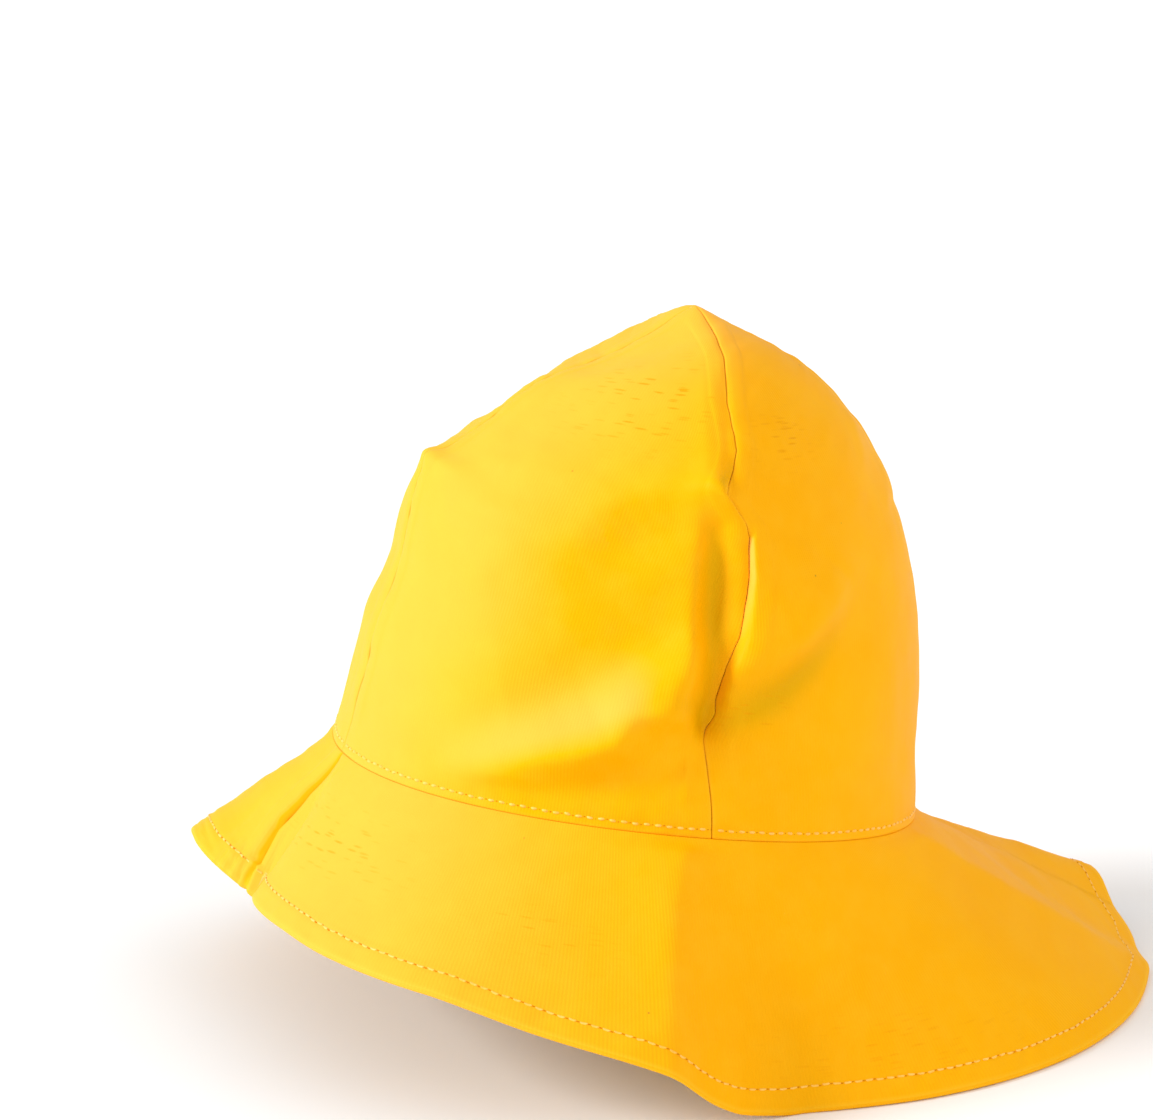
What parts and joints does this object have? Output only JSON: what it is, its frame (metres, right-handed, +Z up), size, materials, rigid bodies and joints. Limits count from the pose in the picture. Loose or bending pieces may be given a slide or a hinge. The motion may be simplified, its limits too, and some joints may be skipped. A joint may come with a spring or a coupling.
{
  "type": "sou'wester rain hat",
  "caption": "Rain hat of coated cloth with a gored crown and a one-piece brim, short in front and long over the neck, resting on its rim.",
  "frame": {"origin": "middle of the footprint of the brim, on the surface that the hat rests on", "axes": "+Z up, the front of the hat faces -Y and the wearer's left is +X"},
  "size_m": [0.2726, 0.3202, 0.232],
  "materials": {
    "coated_cloth": "yellow rubbery coating with a soft satin sheen over a fine cotton twill"
  },
  "bodies": {
    "root": {"crown_gore_front_left": "coated_cloth", "crown_gore_front_right": "coated_cloth", "crown_gore_back_left": "coated_cloth", "crown_gore_back_right": "coated_cloth", "brim": "coated_cloth"}
  },
  "joints": []
}
